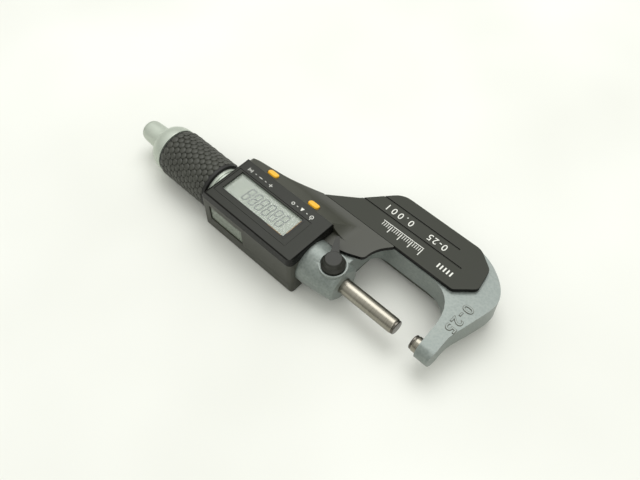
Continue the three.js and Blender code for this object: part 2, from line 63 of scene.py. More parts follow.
# %% Camera
AIM = Vector((54.7, -8.8, 0.0)) * MM
AZIMUTH = math.radians(223.86)
ELEVATION = math.radians(55.14)
DISTANCE = 283.65 * MM
FOCAL_LENGTH = 40.5
SENSOR_WIDTH = 36.0
NEAR_CLIP = 5 * MM


def looking(location, target):
    """The turn that points a camera or a lamp at its target."""
    return (target - location).to_track_quat("-Z", "Y").to_euler()


camera_data = bpy.data.cameras.new("camera")
camera_data.lens = FOCAL_LENGTH
camera_data.sensor_width = SENSOR_WIDTH
camera_data.clip_start = NEAR_CLIP
camera = bpy.data.objects.new("camera", camera_data)
away = Vector((math.sin(AZIMUTH) * math.cos(ELEVATION),
               -math.cos(AZIMUTH) * math.cos(ELEVATION),
               math.sin(ELEVATION)))
camera.location = AIM + away * DISTANCE
camera.rotation_euler = looking(camera.location, AIM)
bpy.context.collection.objects.link(camera)
bpy.context.scene.camera = camera
print("camera at", [round(v / MM) for v in camera.location], "mm")

# %% [markdown]
# ## Colours and nodes
# Colours are chosen as sRGB hex values, which are easy to compare, while the shaders work in
# linear light. One function turns the first into the second. Another adds any node with its
# settings and links, which keeps each node tree short enough to read.

# %% Colours and nodes


def linear(code):
    """An sRGB hex colour such as "#aab1b3" as linear red, green, blue and full alpha."""
    def channel(value):
        if value <= 0.04045:
            return value / 12.92
        return ((value + 0.055) / 1.055) ** 2.4

    parts = [int(code[i:i + 2], 16) / 255 for i in (1, 3, 5)]
    return (*[channel(part) for part in parts], 1.0)


def add_node(tree, kind, inputs=None, **settings):
    """Adds one node. An input that is a socket is linked, anything else is its value."""
    made = tree.nodes.new(kind)
    for name, value in settings.items():
        setattr(made, name, value)
    for name, value in (inputs or {}).items():
        if isinstance(value, bpy.types.NodeSocket):
            tree.links.new(value, made.inputs[name])
        else:
            made.inputs[name].default_value = value
    return made


# %% [markdown]
# ## Table
# A pale, matt table. It could be plain white, but a real one has broad, weak patches, so a
# large noise runs between two close tones. It is far larger than the tool, so its edge stays
# out of sight, and it lies just under the rear shell, on which the tool rests.

# %% Table
TABLE_SIZE = 6.0
TABLE_GAP = 0.05 * MM
table_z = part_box("housing_rear")[0].z - TABLE_GAP

bpy.ops.mesh.primitive_plane_add(size=TABLE_SIZE, location=(0.05, 0, table_z))
table = bpy.context.active_object
table.name = "table"

paper = bpy.data.materials.new("pale_table")
paper.use_nodes = True
paper_tree = paper.node_tree
paper_shader = paper_tree.nodes["Principled BSDF"]
paper_place = add_node(paper_tree, "ShaderNodeTexCoord").outputs["Object"]
patches = add_node(paper_tree, "ShaderNodeTexNoise", {"Vector": paper_place, "Scale": 9.0})
paper_level = add_node(paper_tree, "ShaderNodeMapRange", {
    "Value": patches.outputs["Fac"], "From Min": 0.3, "From Max": 0.7})
paper_tint = add_node(paper_tree, "ShaderNodeMix", {"Factor": paper_level.outputs["Result"]},
                      data_type="RGBA")
paper_tint.inputs[6].default_value = linear("#e1e2dc")
paper_tint.inputs[7].default_value = linear("#ebece7")
paper_tree.links.new(paper_tint.outputs[2], paper_shader.inputs["Base Color"])
paper_shader.inputs["Roughness"].default_value = 0.85
table.data.materials.append(paper)
print("table at", round(table_z / MM, 2), "mm")

# %% [markdown]
# ## Light
# The tent is a sky that is dimmer near the horizon than overhead, so metal shows a soft change
# from dark to light. Two large lamps add the direction: a key that throws the soft shadow,
# and a weak fill on the other side.

# %% Light
world = bpy.data.worlds.new("studio")
bpy.context.scene.world = world
world.use_nodes = True
sky = world.node_tree
background = sky.nodes["Background"]
toward = add_node(sky, "ShaderNodeTexCoord").outputs["Generated"]
height = add_node(sky, "ShaderNodeSeparateXYZ", {"Vector": toward}).outputs["Z"]
lift = add_node(sky, "ShaderNodeMapRange", {"Value": height, "From Min": 0.05, "From Max": 0.75})
tent = add_node(sky, "ShaderNodeMix", {"Factor": lift.outputs["Result"]}, data_type="RGBA")
tent.inputs[6].default_value = linear("#8f9089")
tent.inputs[7].default_value = linear("#fcfdf8")
sky.links.new(tent.outputs[2], background.inputs["Color"])
background.inputs["Strength"].default_value = 0.94
bpy.context.scene.view_settings.view_transform = "Standard"


def soft_box(name, place, target, size, power):
    """A square area lamp, its size in metres and its power in watts."""
    data = bpy.data.lights.new(name, "AREA")
    data.size = size
    data.energy = power
    box = bpy.data.objects.new(name, data)
    box.location = place
    box.rotation_euler = looking(Vector(place), target)
    bpy.context.collection.objects.link(box)


soft_box("key_light", (0.22, -0.28, 0.75), AIM, 0.6, 3.3)
soft_box("fill_light", (-0.50, 0.35, 0.55), AIM, 0.6, 0.8)
print("two lamps and a tent")

# %% [markdown]
# ## Finishes
# Every finish starts from what the real one is. Most are a base colour with a little variation,
# a roughness that follows it, and a fine relief from noise or cells. One function builds that
# common part, and each finish states its sizes in millimetres.

# %% A common surface builder


def surface(name, dark, light, grain_mm, roughness, metallic=0.0, relief_mm=0.01,
            stretch=(1, 1, 1), kind="noise", wear=0.06, **sockets):
    """A finish whose colour runs from dark to light over grains of a real size."""
    material = bpy.data.materials.new(name)
    material.use_nodes = True
    tree = material.node_tree
    shader = tree.nodes["Principled BSDF"]
    place = add_node(tree, "ShaderNodeTexCoord").outputs["Object"]
    scale = [value / (grain_mm * MM) for value in stretch]
    mapped = add_node(tree, "ShaderNodeMapping", {"Vector": place, "Scale": scale})
    mapped = mapped.outputs["Vector"]
    if kind == "cells":
        grain = add_node(tree, "ShaderNodeTexVoronoi", {"Vector": mapped, "Scale": 1.0},
                         feature="SMOOTH_F1").outputs["Distance"]
    else:
        grain = add_node(tree, "ShaderNodeTexNoise",
                         {"Vector": mapped, "Scale": 1.0, "Detail": 3.0}).outputs["Fac"]
    broad = add_node(tree, "ShaderNodeTexNoise", {"Vector": place, "Scale": 60.0}).outputs["Fac"]
    both = add_node(tree, "ShaderNodeMath", {0: grain, 1: broad}, operation="ADD").outputs[0]
    level = add_node(tree, "ShaderNodeMapRange",
                     {"Value": both, "From Min": 0.6, "From Max": 1.4}).outputs["Result"]
    tint = add_node(tree, "ShaderNodeMix", data_type="RGBA")
    tree.links.new(level, tint.inputs["Factor"])
    tint.inputs[6].default_value = linear(dark)
    tint.inputs[7].default_value = linear(light)
    tree.links.new(tint.outputs[2], shader.inputs["Base Color"])
    rough = add_node(tree, "ShaderNodeMapRange", {
        "Value": level, "To Min": roughness - wear, "To Max": roughness + wear})
    tree.links.new(rough.outputs["Result"], shader.inputs["Roughness"])
    bump = add_node(tree, "ShaderNodeBump",
                    {"Height": grain, "Distance": relief_mm * MM, "Strength": 1.0})
    tree.links.new(bump.outputs["Normal"], shader.inputs["Normal"])
    shader.inputs["Metallic"].default_value = metallic
    for socket, value in sockets.items():
        shader.inputs[socket.replace("_", " ")].default_value = value
    return material


# %% [markdown]
# Hammertone enamel is a stoved paint with aluminium flakes. It shrinks into shallow cells about a
# millimetre across, so it is made from cells and not from noise. The plastics are moulded in
# a spark-eroded tool, which leaves a fine sand texture. The steel is ground round its axis.

# %% The finishes of this tool
finishes = {
    # Grey stoved enamel with shallow cells that break up the highlight.
    "hammertone": surface("hammertone_enamel", "#757d79", "#8a918c", 0.9, 0.38, 0.3, 0.04,
                          kind="cells"),
    # The same enamel, darker, for an outline round the feet of the relief.
    "dark_outline": surface("hammertone_dark_outline", "#4a4a40", "#66675c", 0.5, 0.5, 0.2, 0.03),
    # Spark-eroded ABS: dark, slightly green and almost without a highlight.
    "cover": surface("cover_abs_textured", "#292b23", "#32342b", 0.16, 0.5, relief_mm=0.012,
                     Specular_IOR_Level=0.28),
    # The housing's ABS, a little lighter and glossier than the covers.
    "case": surface("case_abs_textured", "#2f3027", "#3a3b31", 0.18, 0.46, relief_mm=0.012),
    # Satin ABS round the display, darker because it reflects less.
    "bezel": surface("bezel_abs_satin", "#22231d", "#292b24", 0.14, 0.4, relief_mm=0.006,
                     Specular_IOR_Level=0.24),
    # Painted shade and painted dark reflection on upright moulded walls: smooth and nearly black.
    "wall_shade": surface("walls_painted_shade", "#0e0e0c", "#151513", 0.3, 0.26, relief_mm=0.003,
                    wear=0.03, Specular_IOR_Level=0.1),
    # Moulded nylon with a soft, broad highlight.
    "lever": surface("lever_nylon", "#1f201b", "#282923", 0.2, 0.42, relief_mm=0.01,
                     Specular_IOR_Level=0.35),
    # Moulded rubber, matt and dark grey.
    "grip": surface("grip_rubber", "#353630", "#484942", 0.35, 0.5, relief_mm=0.02),
    # The same rubber in shade, between the scales.
    "groove": surface("grip_groove", "#141412", "#1c1c1a", 0.4, 0.6, relief_mm=0.01),
    # Steel ground round its axis: streaks run round it, so highlights run along it.
    "steel": surface("ground_steel", "#817d72", "#a5a196", 0.5, 0.29, 1.0, 0.004,
                     stretch=(4.0, 0.12, 0.12)),
    # Lapped carbide: darker and smoother than the steel.
    "carbide": surface("lapped_carbide", "#57544e", "#716d66", 0.2, 0.24, 1.0, 0.001),
    # Satin chrome: pale, with a broad, slightly cloudy highlight.
    "chrome": surface("satin_chrome", "#b4bcb1", "#c6cdc1", 0.25, 0.42, 0.5, 0.003),
    # A switched-off display: grey-green glass.
    "screen": surface("liquid_crystal_glass", "#858e82", "#929a8d", 6.0, 0.2, relief_mm=0.0),
    # Its segments, darker than the real ones, as the window's haze takes contrast away.
    "segments": surface("liquid_crystal_segments", "#444d49", "#4d5652", 3.0, 0.3,
                        relief_mm=0.0),
    # Polycarbonate dyed through: a strong, even yellow.
    "yellow": surface("button_polycarbonate", "#f4b026", "#fec63a", 0.4, 0.36, relief_mm=0.003),
    # White ink: flat, opaque and without shine.
    "print": surface("screen_print_ink", "#d5d6cf", "#e9e9e3", 0.2, 0.55, relief_mm=0.002),
    # Black rubber seals, also used for the painted shade strip along the display window.
    "seal": surface("seal_rubber", "#151513", "#1e1e1b", 0.3, 0.6, relief_mm=0.005),
    # A painted amber reflection at the display window's corner, with a wet shine.
    "amber_reflection": surface("window_adhesive", "#6b4d22", "#94702f", 1.2, 0.3, relief_mm=0.01),
    # Turned bronze: warm metal with fine marks.
    "bronze": surface("turned_bronze", "#96703c", "#ad8349", 0.15, 0.35, 1.0, 0.002),
    # Plated steel of screws, pins and springs.
    "screw": surface("plated_steel", "#6f6f6b", "#8d8c86", 0.2, 0.32, 1.0, 0.002),
    # Green glass-fibre laminate.
    "board": surface("circuit_laminate", "#1f4a2e", "#2b5a39", 0.5, 0.5, relief_mm=0.004),
}
print(len(finishes), "opaque finishes")

# %% [markdown]
# The windows are moulded acrylic. Clear acrylic could be a transmitting glass, but a thin, flat
# pane doesn't bend what is behind it, so a low alpha gives the same look with less noise. Its
# slight haze softens the highlight. The side pane is tinted grey and nearly opaque: painted light
# that stands in for the lit barrel behind it.

# %% Windows
ACRYLIC_IOR = 1.49


def clear_window(name, tint, alpha):
    """Acrylic: the lower its alpha, the more light passes straight through."""
    material = bpy.data.materials.new(name)
    material.use_nodes = True
    tree = material.node_tree
    shader = tree.nodes["Principled BSDF"]
    place = add_node(tree, "ShaderNodeTexCoord").outputs["Object"]
    haze = add_node(tree, "ShaderNodeTexNoise", {"Vector": place, "Scale": 300.0})
    rough = add_node(tree, "ShaderNodeMapRange",
                     {"Value": haze.outputs["Fac"], "To Min": 0.03, "To Max": 0.09})
    tree.links.new(rough.outputs["Result"], shader.inputs["Roughness"])
    shader.inputs["Base Color"].default_value = linear(tint)
    shader.inputs["IOR"].default_value = ACRYLIC_IOR
    shader.inputs["Alpha"].default_value = alpha
    return material


finishes["clear"] = clear_window("clear_acrylic", "#e4ebe2", 0.1)
# The side pane's grey tint is painted light for the lit barrel behind it.
finishes["pane"] = clear_window("side_pane_painted_light", "#8c9487", 0.72)
print(len(finishes), "finishes")

# %% [markdown]
# ## Softened pieces
# A moulded or cast edge is never sharp: its small radius catches a line of light. A
# mechanical piece has sharp edges and facets, so a copy of it is welded, its flat faces are
# joined, and a small bevel runs along the edges before it is shaded smooth.

# %% Helpers for every piece
SHARP_DEGREES = 32
node_body = {node: body for body, nodes in frame["record"]["behaviour"]["bodies"].items()
             for node in nodes}


def link(name, mesh, finish):
    """A finished mesh as a piece at the origin."""
    piece = bpy.data.objects.new(name, mesh)
    bpy.context.collection.objects.link(piece)
    if finish:
        mesh.materials.clear()
        mesh.materials.append(finishes[finish])
    return piece


def applied(piece):
    """Replaces a piece's mesh by what its modifiers make of it, and removes them."""
    bpy.context.view_layer.update()
    evaluated = piece.evaluated_get(bpy.context.evaluated_depsgraph_get())
    mesh = bpy.data.meshes.new_from_object(evaluated)
    piece.modifiers.clear()
    piece.data = mesh
    return piece


def smooth(mesh, sharp_degrees=SHARP_DEGREES):
    """Shades a mesh smooth and leaves edges steeper than this sharp."""
    mesh.polygons.foreach_set("use_smooth", [True] * len(mesh.polygons))
    mesh.set_sharp_from_angle(angle=math.radians(sharp_degrees))


# %% Copy a mechanical piece and soften its edges
WELD = 0.002 * MM
FLAT_DEGREES = 1.0
EDGE_DEGREES = 28
TOP_FACING = 0.96


def softened(node, finish, radius_mm, segments, wall_shade):
    """The CAD node's shape with rounded edges. The last argument is the painted shade finish of
    its upright walls.
    """
    mesh = bpy.data.meshes.new(node + "_soft")
    work = bmesh.new()
    work.from_mesh(frame["nodes"][node].data)
    bmesh.ops.remove_doubles(work, verts=work.verts, dist=WELD)
    bmesh.ops.dissolve_limit(work, angle_limit=math.radians(FLAT_DEGREES),
                             verts=work.verts, edges=work.edges)
    work.to_mesh(mesh)
    work.free()
    piece = link(node + "_body", mesh, finish)
    bevel = piece.modifiers.new("edge", "BEVEL")
    bevel.width = radius_mm * MM
    bevel.segments = segments
    bevel.limit_method = "ANGLE"
    bevel.angle_limit = math.radians(EDGE_DEGREES)
    bevel.use_clamp_overlap = True
    applied(piece)
    smooth(piece.data)
    level = piece.modifiers.new("flat_faces_stay_flat", "WEIGHTED_NORMAL")
    level.keep_sharp = True
    level.weight = 100
    applied(piece)
    # Its upright walls take the painted shade finish.
    if wall_shade:
        piece.data.materials.append(finishes[wall_shade])
        for face in piece.data.polygons:
            if face.normal.z < TOP_FACING:
                face.material_index = 1
    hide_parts(node)
    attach(piece, node_body[node])
    return piece


# %% [markdown]
# The cast frame and the large mouldings have the widest radii, the machined pieces only a
# broken edge. Each row is a piece, its finish, its radius in millimetres, the bevel's steps and
# the painted shade of its upright walls.

# %% Soften the visible pieces
SOFT = (
    ("frame", "hammertone", 0.45, 3, None), ("front_cover", "cover", 0.6, 3, "wall_shade"),
    ("rear_cover", "cover", 0.2, 2, None), ("housing_case", "case", 0.5, 3, None),
    ("housing_rear", "case", 0.3, 2, None), ("bezel", "bezel", 0.7, 3, "wall_shade"),
    ("display_frame", "bezel", 0.08, 2, None), ("lock_lever", "lever", 0.2, 2, None),
    ("battery_cap", "lever", 0.12, 2, None), ("button_1", "yellow", 0.35, 3, None),
    ("button_2", "yellow", 0.35, 3, None), ("anvil", "steel", 0.12, 2, None),
    ("anvil_tip", "carbide", 0.05, 2, None), ("spindle", "steel", 0.12, 2, None),
    ("spindle_tip", "carbide", 0.05, 2, None), ("thimble", "chrome", 0.2, 2, None),
    ("ratchet_knob", "chrome", 0.2, 2, None), ("knob_cap", "chrome", 0.2, 2, None),
)
for node, finish, radius_mm, steps, wall_shade in SOFT:
    softened(node, finish, radius_mm, steps, wall_shade)
print("softened", len(SOFT), "pieces")

# %% [markdown]
# The housing's wing stands on a smooth lip whose side faces lie in shade. It could be a piece of
# its own, but it is moulded with the housing, so the side faces in that part of the copy take the
# painted shade finish.

# %% Painted shade on the lip of the wing
WING_LENGTH = 38 * MM
WING_BEFORE_Y = -5 * MM
LIP_LOW, LIP_HIGH = 4 * MM, 7.3 * MM
LIP_SLOPE = 0.93
case = bpy.data.objects["housing_case_body"]
case.data.materials.append(finishes["wall_shade"])
wing_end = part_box("housing_case")[0].x + WING_LENGTH
lip_painted_shade_faces = 0
# Side faces of the lip take the painted shade finish.
for face in case.data.polygons:
    on_wing = face.center.x < wing_end and face.center.y < WING_BEFORE_Y
    if on_wing and LIP_LOW < face.center.z < LIP_HIGH and face.normal.z < LIP_SLOPE:
        face.material_index = 1
        lip_painted_shade_faces += 1
print(lip_painted_shade_faces, "faces on the lip")

# %% [markdown]
# ## Grip sleeve
# The thimble is turned by a moulded rubber sleeve covered with overlapping rounded scales, like
# a fish skin. It could be one sculpted mesh or a displacement, but the scales are alike, so one
# scale is placed on a staggered lattice wrapped round a plain sleeve with geometry nodes.

# %% What every node tree needs


def node_inputs(tree, sockets):
    """Names the tree's inputs. Each value also serves as the default."""
    for name, kind, value in sockets:
        made = tree.interface.new_socket(name, in_out="INPUT", socket_type=kind)
        if value is not None:
            made.default_value = value
    tree.interface.new_socket("Geometry", in_out="OUTPUT", socket_type="NodeSocketGeometry")
    return tree.nodes.new("NodeGroupInput")


def sums(tree, operation, first, second):
    """One arithmetic step on two values or sockets."""
    return add_node(tree, "ShaderNodeMath", {0: first, 1: second},
                    operation=operation).outputs[0]


def end_tree(tree, geometry, material):
    """Every tree ends in real geometry with its material set."""
    real = add_node(tree, "GeometryNodeRealizeInstances", {"Geometry": geometry})
    painted = add_node(tree, "GeometryNodeSetMaterial", {
        "Geometry": real.outputs["Geometry"], "Material": material})
    out = tree.nodes.new("NodeGroupOutput")
    tree.links.new(painted.outputs["Geometry"], out.inputs["Geometry"])


def grown(name, tree, values):
    """A new piece whose mesh comes from a node tree with these named inputs."""
    piece = link(name, bpy.data.meshes.new(name), None)
    modifier = piece.modifiers.new("nodes", "NODES")
    modifier.node_group = tree
    for item in tree.interface.items_tree:
        if item.in_out == "INPUT" and item.name in values:
            modifier[item.identifier] = values[item.name]
    applied(piece)
    for index in reversed(range(len(piece.data.materials))):
        if piece.data.materials[index] is None:
            piece.data.materials.pop(index=index)
    return piece


# %% [markdown]
# Each point gets its row and its place round the sleeve from its number, with every other row
# turned by half a scale. A scale is a flattened sphere with only a few dozen faces, because
# it is repeated hundreds of times, and its size varies a little by a fixed seed.

# %% The lattice of scales
SCALE_FACES = {"Segments": 12, "Rings": 5, "Radius": 1.0}
SMALLEST, LARGEST = 0.93, 1.07
scales = bpy.data.node_groups.new("wrapped_scales", "GeometryNodeTree")
given = node_inputs(scales, [
    ("Count round", "NodeSocketInt", 24), ("Rows", "NodeSocketInt", 10),
    ("Radius", "NodeSocketFloat", 0.01), ("Start", "NodeSocketFloat", 0.0),
    ("Step", "NodeSocketFloat", 0.002), ("Size", "NodeSocketVector", (0.001, 0.001, 0.0005)),
    ("Tilt", "NodeSocketFloat", 0.2), ("Seed", "NodeSocketInt", 1),
    ("Material", "NodeSocketMaterial", None),
])
ask = given.outputs
total = sums(scales, "MULTIPLY", ask["Count round"], ask["Rows"])
points = add_node(scales, "GeometryNodeMeshLine", {"Count": total})
number = add_node(scales, "GeometryNodeInputIndex").outputs[0]
row = sums(scales, "FLOOR", sums(scales, "DIVIDE", number, ask["Count round"]), 0.0)
offset = sums(scales, "MULTIPLY", sums(scales, "MODULO", row, 2.0), 0.5)
turns = sums(scales, "DIVIDE", sums(scales, "ADD", number, offset), ask["Count round"])
angle = sums(scales, "MULTIPLY", turns, 2 * math.pi)
along = sums(scales, "ADD", ask["Start"], sums(scales, "MULTIPLY", row, ask["Step"]))
side = sums(scales, "MULTIPLY", sums(scales, "SINE", angle, 0.0), ask["Radius"])
height_up = sums(scales, "MULTIPLY", sums(scales, "COSINE", angle, 0.0), ask["Radius"])
spot = add_node(scales, "ShaderNodeCombineXYZ", {
    "X": along, "Y": sums(scales, "MULTIPLY", side, -1.0), "Z": height_up})
placed = add_node(scales, "GeometryNodeSetPosition", {
    "Geometry": points.outputs["Mesh"], "Position": spot.outputs["Vector"]})
scale_ball = add_node(scales, "GeometryNodeMeshUVSphere", SCALE_FACES)
lean = add_node(scales, "ShaderNodeCombineXYZ", {"Y": ask["Tilt"]})
scale_body = add_node(scales, "GeometryNodeTransform", {
    "Geometry": scale_ball.outputs["Mesh"], "Rotation": lean.outputs["Vector"],
    "Scale": ask["Size"]})
soft_scale = add_node(scales, "GeometryNodeSetShadeSmooth",
                      {"Geometry": scale_body.outputs["Geometry"]})
turn = add_node(scales, "ShaderNodeCombineXYZ", {"X": angle})
uneven = add_node(scales, "FunctionNodeRandomValue", {"Seed": ask["Seed"]}, data_type="FLOAT")
uneven.inputs[2].default_value = SMALLEST
uneven.inputs[3].default_value = LARGEST
on_points = add_node(scales, "GeometryNodeInstanceOnPoints", {
    "Points": placed.outputs["Geometry"], "Instance": soft_scale.outputs["Geometry"],
    "Rotation": turn.outputs["Vector"], "Scale": uneven.outputs[1]})
end_tree(scales, on_points.outputs["Instances"], ask["Material"])

# %% Grow the scales
SCALE_ROWS = 12
SCALES_ROUND = 22
SLEEVE_R = 10.25
SCALE_FROM_X = 104.9
SCALE_STEP = 2.16
SCALE_SIZE = (1.75 * MM, 1.62 * MM, 0.55 * MM)
SCALE_TILT = math.radians(11)
scale_skin = grown("grip_scales", scales, {
    "Count round": SCALES_ROUND, "Rows": SCALE_ROWS, "Radius": SLEEVE_R * MM,
    "Start": SCALE_FROM_X * MM, "Step": SCALE_STEP * MM,
    "Size": SCALE_SIZE, "Tilt": SCALE_TILT, "Seed": 4, "Material": finishes["grip"],
})
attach(scale_skin, node_body["grip"])
print(len(scale_skin.data.polygons), "faces in the scales")

# %% [markdown]
# Under the scales lies the plain sleeve with a low collar at its inner end. It is a ring of
# revolution, so its section is turned round the spindle's axis.

# %% The sleeve beneath

def turned(name, profile, finish, body, sides=72):
    """A ring of revolution about the spindle axis from (x, radius) pairs in millimetres."""
    mesh = bpy.data.meshes.new(name)
    work = bmesh.new()
    rings = []
    for x, radius in profile:
        rings.append([work.verts.new(Vector((
            x, radius * math.cos(2 * math.pi * i / sides),
            radius * math.sin(2 * math.pi * i / sides))) * MM) for i in range(sides)])
    for one, two in zip(rings, rings[1:] + rings[:1]):
        for i in range(sides):
            j = (i + 1) % sides
            work.faces.new((one[i], one[j], two[j], two[i]))
    bmesh.ops.recalc_face_normals(work, faces=work.faces)
    work.to_mesh(mesh)
    work.free()
    smooth(mesh, 40)
    piece = link(name, mesh, finish)
    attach(piece, body)
    return piece


sleeve = turned("grip_sleeve", [
    (102.0, 9.25), (102.0, 10.0), (102.3, 10.5), (103.7, 10.6), (104.0, 10.3), (130.2, 10.3),
    (130.6, 10.0), (130.6, 9.25),
], "groove", "thimble")
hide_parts("grip")
print(len(sleeve.data.polygons), "faces in the sleeve")

# %% [markdown]
# ## Liquid crystal digits
# A switched-off display still shows its segments faintly when the light falls on it. They are
# thin etched electrodes, so one seven-segment figure is drawn as a mesh and geometry nodes
# repeat it along the display, between the glass and the window.

# %% A row of repeated figures
repeat = bpy.data.node_groups.new("repeat_in_a_row", "GeometryNodeTree")
row_in = node_inputs(repeat, [
    ("Figure", "NodeSocketObject", None), ("Count", "NodeSocketInt", 6),
    ("Step", "NodeSocketVector", (0.004, 0, 0)), ("Material", "NodeSocketMaterial", None),
])
figure = add_node(repeat, "GeometryNodeObjectInfo", {"Object": row_in.outputs["Figure"]})
row_line = add_node(repeat, "GeometryNodeMeshLine", {
    "Count": row_in.outputs["Count"], "Offset": row_in.outputs["Step"]})
row_copies = add_node(repeat, "GeometryNodeInstanceOnPoints", {
    "Points": row_line.outputs["Mesh"], "Instance": figure.outputs["Geometry"]})
end_tree(repeat, row_copies.outputs["Instances"], row_in.outputs["Material"])


# %% Thin plates


def flat_shapes(name, outlines, low, high):
    """Thin plates from flat outlines in millimetres, between two heights."""
    mesh = bpy.data.meshes.new(name)
    work = bmesh.new()
    for outline in outlines:
        bottom = [work.verts.new(Vector((x, y, low)) * MM) for x, y in outline]
        top = [work.verts.new(Vector((x, y, high)) * MM) for x, y in outline]
        work.faces.new(bottom)
        work.faces.new(top)
        for i, corner in enumerate(bottom):
            j = (i + 1) % len(bottom)
            work.faces.new((corner, bottom[j], top[j], top[i]))
    bmesh.ops.recalc_face_normals(work, faces=work.faces)
    work.to_mesh(mesh)
    work.free()
    return mesh


def in_a_row(name, outlines, low, high, count, step, finish, body):
    """Flat shapes repeated count times, each step millimetres further."""
    seed = link(name + "_seed", flat_shapes(name + "_seed", outlines, low, high), None)
    piece = grown(name, repeat, {
        "Figure": seed, "Count": count, "Step": [value * MM for value in step],
        "Material": finishes[finish],
    })
    bpy.data.objects.remove(seed)
    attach(piece, body)
    return piece


# %% The seven segments
DIGIT_W, DIGIT_H, DIGIT_T = 2.2, 6.2, 0.62
DIGIT_X, DIGIT_STEP, DIGITS = 66.2, 3.75, 6
DIGIT_SLANT = 0.1
CORNER_GAP = 0.1


def bar(x, y, length, thick, upright=False):
    """A segment with pointed ends, from its centre."""
    half, flat = thick / 2, length / 2 - thick / 2
    points = [(-flat - half, 0), (-flat, -half), (flat, -half), (flat + half, 0), (flat, half),
              (-flat, half)]
    if upright:
        points = [(-b, a) for a, b in points]
    return [(x + a + (y + b) * DIGIT_SLANT, y + b) for a, b in points]


seven = [bar(DIGIT_X, y, DIGIT_W, DIGIT_T) for y in (-DIGIT_H / 2, 0, DIGIT_H / 2)]
seven += [bar(DIGIT_X + x, y, DIGIT_H / 2 - CORNER_GAP, DIGIT_T, True)
          for x in (-DIGIT_W / 2 - CORNER_GAP, DIGIT_W / 2 + CORNER_GAP)
          for y in (-DIGIT_H / 4, DIGIT_H / 4)]
panel_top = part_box("lcd_panel")[1].z / MM
digits = in_a_row("lcd_digits", seven, panel_top + 0.008, panel_top + 0.035, DIGITS,
                  (DIGIT_STEP, 0, 0), "segments", "frame")
print(DIGITS, "digits,", len(digits.data.polygons), "faces")

# %% [markdown]
# ## Printed scales, figures and key symbols
# The covers carry white screen print: a plain range figure, a resolution figure, a tick scale
# and simple key symbols. The ink is a film a few hundredths of a millimetre thick. It could be
# a mask in the cover's material, but as its own thin piece its edges stay crisp close up.

# %% Lettering
INK = 0.03
INK_LIFT = 0.002
CAPITAL_PART = 0.7
cover_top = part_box("front_cover")[1].z / MM
bezel_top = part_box("bezel")[1].z / MM


def lettering(name, text, height_mm, finish, body, place, thick_mm, spread=1.2,
              grow=0.0):
    """Figures as a thin mesh. place turns a flat point in millimetres into its real place.
    A capital is about 0.7 of the font's size, and the size is set from its height."""
    curve = bpy.data.curves.new(name, "FONT")
    curve.body = text
    curve.size = height_mm / CAPITAL_PART
    curve.space_character = spread
    curve.offset = grow
    curve.resolution_u = 4
    curve.extrude = thick_mm / 2
    drawn = bpy.data.objects.new(name + "_curve", curve)
    bpy.context.collection.objects.link(drawn)
    bpy.context.view_layer.update()
    mesh = bpy.data.meshes.new_from_object(drawn)
    bpy.data.objects.remove(drawn)
    for vertex in mesh.vertices:
        vertex.co = Vector(place(*vertex.co)) * MM
    piece = link(name, mesh, finish)
    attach(piece, body)
    return piece


def on_cover(x0, y0):
    """Puts a print on the front cover with its lower left corner at x0, y0."""
    return lambda x, y, z: (x0 + x, y0 + y, cover_top + INK / 2 + z)


# %% Figures and scale on the front cover
PRINT_H, PRINT_Y = 3.0, -36.7
SCALE_X, SCALE_Y = 20, -29
TICK_W, LONG_TICK_W = 0.25, 0.35


def strip(x0, x1, y0, y1):
    """The outline of an upright rectangle."""
    return [(x0, y0), (x1, y0), (x1, y1), (x0, y1)]


def cover_row(name, outlines, count, step):
    """The same printed shapes several times along the front cover."""
    return in_a_row(name, outlines, cover_top + INK_LIFT, cover_top + INK, count, (step, 0, 0),
                    "print", "frame")


lettering("print_range", "0-25", PRINT_H, "print", "frame", on_cover(13.6, PRINT_Y), INK)
lettering("print_step", "0.001", PRINT_H, "print", "frame", on_cover(30.0, PRINT_Y), INK, 1.5)
ticks = [strip(SCALE_X, SCALE_X + LONG_TICK_W, SCALE_Y, -25.6)]
ticks += [strip(SCALE_X + i, SCALE_X + TICK_W + i, SCALE_Y, -27.2) for i in (1, 2, 3, 4)]
cover_row("print_scale", ticks, 4, 5)
cover_row("print_scale_base", [strip(SCALE_X, 24.8, -29.6, -29.3)], 4, 5)
bars = cover_row("print_bars", [strip(5.2, 5.8, -28.6, -26.4)], 5, 1.5)
ink_top = max(vertex.co.z for vertex in bars.data.vertices) / MM
print("ink stands", round(ink_top - cover_top, 3), "mm above the cover")

# %% [markdown]
# The symbols over the keys are a ring with a stroke, dots and small lines. They stand in one
# row, so each is placed by its distance along it.

# %% Key symbols
KEY_ROW_Y = -8.3
LINE, DOT = 0.26, 0.24
DOT_LENGTH, DASH_LENGTH = 0.7, 1.7


def ring_outline(x, y, radius, width, steps=20):
    """A circle drawn as short plates."""
    plates = []
    for i in range(steps):
        a, b = 2 * math.pi * i / steps, 2 * math.pi * (i + 1) / steps
        plates.append([(x + r * math.cos(t), y + r * math.sin(t))
                       for r, t in ((radius, a), (radius, b), (radius - width, b),
                                    (radius - width, a))])
    return plates


def box_outline(x, y, w, h):
    """A rectangle from its centre."""
    return strip(x - w / 2, x + w / 2, y - h / 2, y + h / 2)


def dot(x):
    """A short stroke between two symbols."""
    return box_outline(x, KEY_ROW_Y, DOT_LENGTH, DOT)


